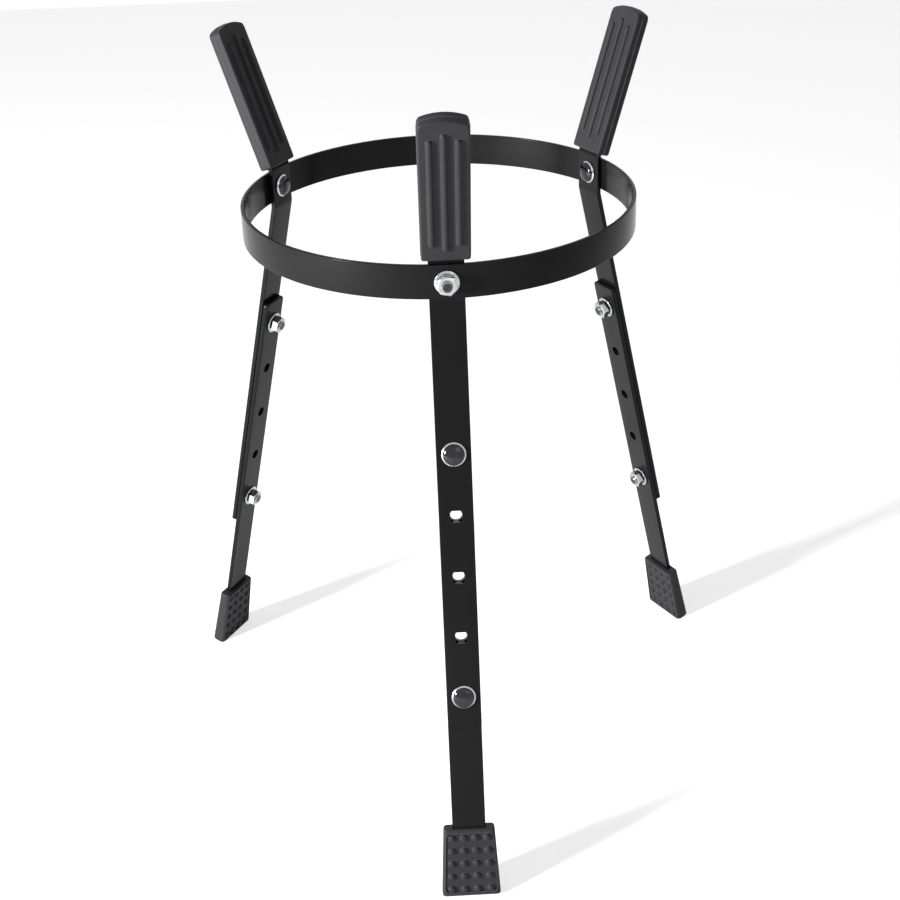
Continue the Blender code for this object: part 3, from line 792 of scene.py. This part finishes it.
def nut_model(settings):
    """Hexagon nut with a round flange, chamfered corners and a plain bore, its seat at 0."""
    corner = settings.flats / 2 / math.cos(math.pi / 6)
    height = settings.nut_height - NUT_SKIRT
    middle = (0.0, 0.0, NUT_SKIRT + height / 2)
    bpy.ops.object.select_all(action="DESELECT")
    bpy.ops.mesh.primitive_cylinder_add(vertices=6, radius=corner, depth=height, location=middle)
    nut = name_new("nut_model")
    bpy.ops.object.transform_apply(location=True, rotation=True, scale=True)
    narrow, wide = settings.flats / 2 - 0.4 * MM, settings.flats / 2 + 8.0 * MM
    depth = (wide - narrow) * math.tan(math.radians(30.0))
    middle = (0.0, 0.0, settings.nut_height - depth / 2)
    bpy.ops.object.select_all(action="DESELECT")
    bpy.ops.mesh.primitive_cone_add(vertices=48, radius1=wide, radius2=narrow, depth=depth, location=middle)
    chamfer = name_new("chamfer")
    bpy.ops.object.transform_apply(location=True, rotation=True, scale=True)
    apply_modifier(nut, "BOOLEAN", object=chamfer, operation="INTERSECT", solver="EXACT")
    remove(chamfer)
    outer, depth = settings.flange / 2, 1.2 * MM
    middle = (0.0, 0.0, depth / 2)
    bpy.ops.object.select_all(action="DESELECT")
    bpy.ops.mesh.primitive_cylinder_add(vertices=64, radius=outer, depth=depth, location=middle)
    flange = name_new("flange")
    bpy.ops.object.transform_apply(location=True, rotation=True, scale=True)
    pick_faces(flange, lambda centre, normal: normal.z > 0.9)
    bpy.ops.mesh.extrude_region_move(TRANSFORM_OT_translate={"value": (0.0, 0.0, 1.0 * MM)})
    shrink = (settings.flats / 2 - 0.3 * MM) / outer
    bpy.ops.transform.resize(value=(shrink, shrink, 1.0))
    done()
    pick_edges(flange, lambda a, b: max(a.z, b.z) < depth + MM / 10 and is_ring(a, b, outer))
    bpy.ops.mesh.bevel(offset=0.25 * MM, segments=2, affect="EDGES")
    done()
    apply_modifier(nut, "BOOLEAN", object=flange, operation="UNION", solver="EXACT")
    remove(flange)
    bpy.ops.object.select_all(action="DESELECT")
    bore = settings.shank / 2 + 0.15 * MM
    bpy.ops.mesh.primitive_cylinder_add(vertices=40, radius=bore, depth=settings.nut_height * 2)
    hole = name_new("bore")
    apply_modifier(nut, "BOOLEAN", object=hole, operation="DIFFERENCE", solver="EXACT")
    remove(hole)
    smooth(nut, 30.0)
    return nut


def fastener_places(number):
    """(name, place of the bolt, place of the nut) of a leg's three fasteners, with +Z to the head, or off
    the nut."""
    outward = Matrix.Rotation(-math.pi / 2, 4, "X")
    inward = Matrix.Rotation(math.pi / 2, 4, "X")
    leg = leg_place(number)
    row = adjusting_place(number)
    hoop_head = leg @ Matrix.Translation((0.0, -BAR_THICKNESS - SEAT_GAP, 0.0)) @ inward
    hoop_nut = leg @ Matrix.Translation((0.0, HOOP_WALL_FROM_SEAT + SEAT_GAP, 0.0)) @ outward
    places = [("ring", hoop_head, hoop_nut)]
    for name, height in (("upper", 0.0), ("lower", -(HOLE_COUNT - 1) * HOLE_PITCH)):
        head = row @ Matrix.Translation((0.0, SEAT_GAP, height)) @ outward
        nut = row @ Matrix.Translation((0.0, LOWER_BAR_INNER_FACE - SEAT_GAP, height)) @ inward
        places.append((name, head, nut))
    return places


# Stage


def ring_centre():
    """(middle of the hoop, height of its lower edge)."""
    low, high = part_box("ring")
    return (Vector(low) + Vector(high)) / 2, low[2]


def add_camera():
    """The photograph's view: fitted to the hoop, the fasteners, the holes and the feet."""
    centre, ring_bottom = ring_centre()
    azimuth, elevation, roll = math.radians(-1.42), math.radians(27.61), math.radians(-2.09)
    distance, target_drop, focal_px, image_px = 1.28484, 0.180, 1563.12, 900.0
    principal = (446.83, 430.96)
    target = Vector((centre.x, centre.y, ring_bottom - target_drop))
    right = Vector((math.cos(azimuth), math.sin(azimuth), 0.0))
    level = math.cos(elevation)
    back = Vector((math.sin(azimuth) * level, -math.cos(azimuth) * level, math.sin(elevation)))
    up = back.cross(right)
    turned_right = right * math.cos(roll) + up * math.sin(roll)
    turned_up = up * math.cos(roll) - right * math.sin(roll)
    data = bpy.data.cameras.new("camera")
    data.sensor_width = 36.0
    data.lens = focal_px / image_px * data.sensor_width
    data.shift_x = (image_px / 2 - principal[0]) / image_px
    data.shift_y = (principal[1] - image_px / 2) / image_px
    camera = bpy.data.objects.new("camera", data)
    bpy.context.scene.collection.objects.link(camera)
    camera.matrix_world = Matrix.Translation(target + back * distance) @ (
        Matrix((turned_right, turned_up, back)).transposed().to_4x4()
    )
    bpy.context.scene.camera = camera


def add_lamp(name, place, size, power, aim):
    """A soft box at a place, turned to a point."""
    data = bpy.data.lights.new(name, "AREA")
    data.shape = "RECTANGLE"
    data.size, data.size_y = size
    data.energy = power
    lamp = bpy.data.objects.new(name, data)
    bpy.context.scene.collection.objects.link(lamp)
    lamp.location = place
    lamp.rotation_euler = (Vector(aim) - Vector(place)).to_track_quat("-Z", "Y").to_euler()


def seen_rays(tree):
    """1 for the rays that see the background white: the camera's, and those of gloss and glass."""
    path = add_node(tree, "ShaderNodeLightPath")
    mirrored = [(path.outputs["Is Glossy Ray"], 0), (path.outputs["Is Transmission Ray"], 1)]
    gloss = add_node(tree, "ShaderNodeMath", mirrored, operation="MAXIMUM")
    seen = [(path.outputs["Is Camera Ray"], 0), (gloss.outputs["Value"], 1)]
    return add_node(tree, "ShaderNodeMath", seen, operation="MAXIMUM").outputs["Value"]


def add_world(settings):
    """An even grey sky that lights the stand, white where it is seen."""
    world = bpy.data.worlds.new("studio")
    bpy.context.scene.world = world
    world.use_nodes = True
    tree = world.node_tree
    tree.nodes.clear()
    strength = add_node(tree, "ShaderNodeMix", [(seen_rays(tree), "Factor")], A=settings.sky, B=WHITE)
    level = [(strength.outputs["Result"], "Strength")]
    light = add_node(tree, "ShaderNodeBackground", level, Color=linear("#ffffff"))
    add_node(tree, "ShaderNodeOutputWorld", [(light.outputs["Background"], "Surface")])


def floor_material(settings):
    """White studio paper: matt and bare, with the shade of the stand kept on it. A camera sees its lit
    parts as white."""
    material, tree, shader = new_material("white_studio_paper")
    output = next(node for node in tree.nodes if node.type == "OUTPUT_MATERIAL")
    fibre = add_node(tree, "ShaderNodeTexNoise", [(surface_point(tree), "Vector")], Scale=900.0, Detail=3.0)
    height = [(fibre.outputs["Fac"], "Height")]
    bump = add_node(tree, "ShaderNodeBump", height, Strength=0.05, Distance=0.1 * MM)
    tree.links.new(bump.outputs["Normal"], shader.inputs["Normal"])
    shader.inputs["Base Color"].default_value = [*settings.floor, 1.0]
    shader.inputs["Roughness"].default_value = 0.9
    glow = add_node(tree, "ShaderNodeEmission", Color=linear("#ffffff"), Strength=FLOOR_GLOW)
    both = add_node(tree, "ShaderNodeAddShader")
    tree.links.new(shader.outputs["BSDF"], both.inputs[0])
    tree.links.new(glow.outputs["Emission"], both.inputs[1])
    pick = add_node(tree, "ShaderNodeMixShader", [(seen_rays(tree), 0)])
    tree.links.new(shader.outputs["BSDF"], pick.inputs[1])
    tree.links.new(both.outputs["Shader"], pick.inputs[2])
    tree.links.new(pick.outputs["Shader"], output.inputs["Surface"])
    return material


# Operators


class STAND_OT_steel(bpy.types.Operator):
    """Paints the hoop, the struts and the lower legs"""

    bl_idname = "stand.steel"
    bl_label = "Painted steel"

    def execute(self, context):
        material = paint_material(context.scene.stand_finish)
        steel_piece("ring", "hoop", material)
        for number in LEGS:
            steel_piece(f"strut_{number}", f"leg_{number}", material)
            steel_piece(f"lower_leg_{number}", f"leg_{number}", material)
        return {"FINISHED"}


class STAND_OT_rubber(bpy.types.Operator):
    """Moulds the grips and the feet"""

    bl_idname = "stand.rubber"
    bl_label = "Grips and feet"

    def execute(self, context):
        scene = context.scene
        material = rubber_material(scene.stand_finish)
        grip, foot = grip_model(scene.stand_grip), foot_model(scene.stand_foot)
        for number in LEGS:
            body = f"leg_{number}"
            sleeve = place_copy(grip, f"grip_{number}_moulded", arm_place(number))
            dress(sleeve, f"grip_{number}", body, material)
            shoe = place_copy(foot, f"foot_{number}_moulded", adjusting_place(number))
            dress(shoe, f"foot_{number}", body, material)
        remove(grip)
        remove(foot)
        return {"FINISHED"}


class STAND_OT_fasteners(bpy.types.Operator):
    """Turns the bolts and the nuts"""

    bl_idname = "stand.fasteners"
    bl_label = "Bolts and nuts"

    def execute(self, context):
        scene = context.scene
        dark, zinc = dark_plate_material(scene.stand_finish), zinc_material(scene.stand_finish)
        settings = scene.stand_fastener
        bolt, shank, nut = bolt_model(settings), thread_model(settings), nut_model(settings)
        for number in LEGS:
            body = f"leg_{number}"
            for name, bolt_place, nut_place in fastener_places(number):
                head = place_copy(bolt, f"{name}_bolt_{number}_head", bolt_place)
                dress(head, f"{name}_bolt_{number}", body, dark)
                # The brim in pale zinc plate is a painted highlight round the head
                brighten_brim(head, bolt_place, settings, zinc)
                end = place_copy(shank, f"{name}_bolt_{number}_thread", bolt_place)
                dress(end, f"{name}_bolt_{number}", body, dark)
                turn = Matrix.Rotation(NUT_TURN * number, 4, "Z")
                ring = place_copy(nut, f"{name}_nut_{number}_plated", nut_place @ turn)
                dress(ring, f"{name}_nut_{number}", body, zinc)
        for model in (bolt, shank, nut):
            remove(model)
        return {"FINISHED"}


class STAND_OT_stage(bpy.types.Operator):
    """Lays the floor, hangs the lamps and sets the camera"""

    bl_idname = "stand.stage"
    bl_label = "Stage"

    def execute(self, context):
        settings = context.scene.stand_stage
        add_camera()
        add_world(settings)
        bpy.ops.object.select_all(action="DESELECT")
        bpy.ops.mesh.primitive_grid_add(x_subdivisions=4, y_subdivisions=4, size=FLOOR_WIDTH)
        floor = name_new("floor")
        floor.data.materials.append(floor_material(settings))
        aim = (0.0, 0.0, 0.3)
        add_lamp("key", (-1.9, -1.1, 0.75), (0.25, 0.35), settings.key_power, aim)
        add_lamp("fill", (1.2, -1.9, 1.6), (1.6, 1.2), settings.fill_power, aim)
        context.scene.view_settings.view_transform = "Standard"
        return {"FINISHED"}


OPERATORS = (STAND_OT_steel, STAND_OT_rubber, STAND_OT_fasteners, STAND_OT_stage)


class STAND_PT_panel(bpy.types.Panel):
    """The stand's pieces"""

    bl_idname = "STAND_PT_panel"
    bl_label = "Basket conga stand"
    bl_space_type = "VIEW_3D"
    bl_region_type = "UI"
    bl_category = "Stand"

    def draw(self, context):
        for operator in OPERATORS:
            self.layout.operator(operator.bl_idname)


SETTINGS = {
    "stand_finish": FinishSettings,
    "stand_grip": GripSettings,
    "stand_foot": FootSettings,
    "stand_fastener": FastenerSettings,
    "stand_stage": StageSettings,
}


def register():
    for name, group in SETTINGS.items():
        bpy.utils.register_class(group)
        setattr(bpy.types.Scene, name, PointerProperty(type=group))
    for item in (*OPERATORS, STAND_PT_panel):
        bpy.utils.register_class(item)


def unregister():
    for item in reversed((*OPERATORS, STAND_PT_panel)):
        bpy.utils.unregister_class(item)
    for name, group in reversed(SETTINGS.items()):
        delattr(bpy.types.Scene, name)
        bpy.utils.unregister_class(group)


def main():
    register()
    bpy.ops.stand.steel()
    bpy.ops.stand.rubber()
    bpy.ops.stand.fasteners()
    bpy.ops.stand.stage()


if __name__ == "__main__":
    main()
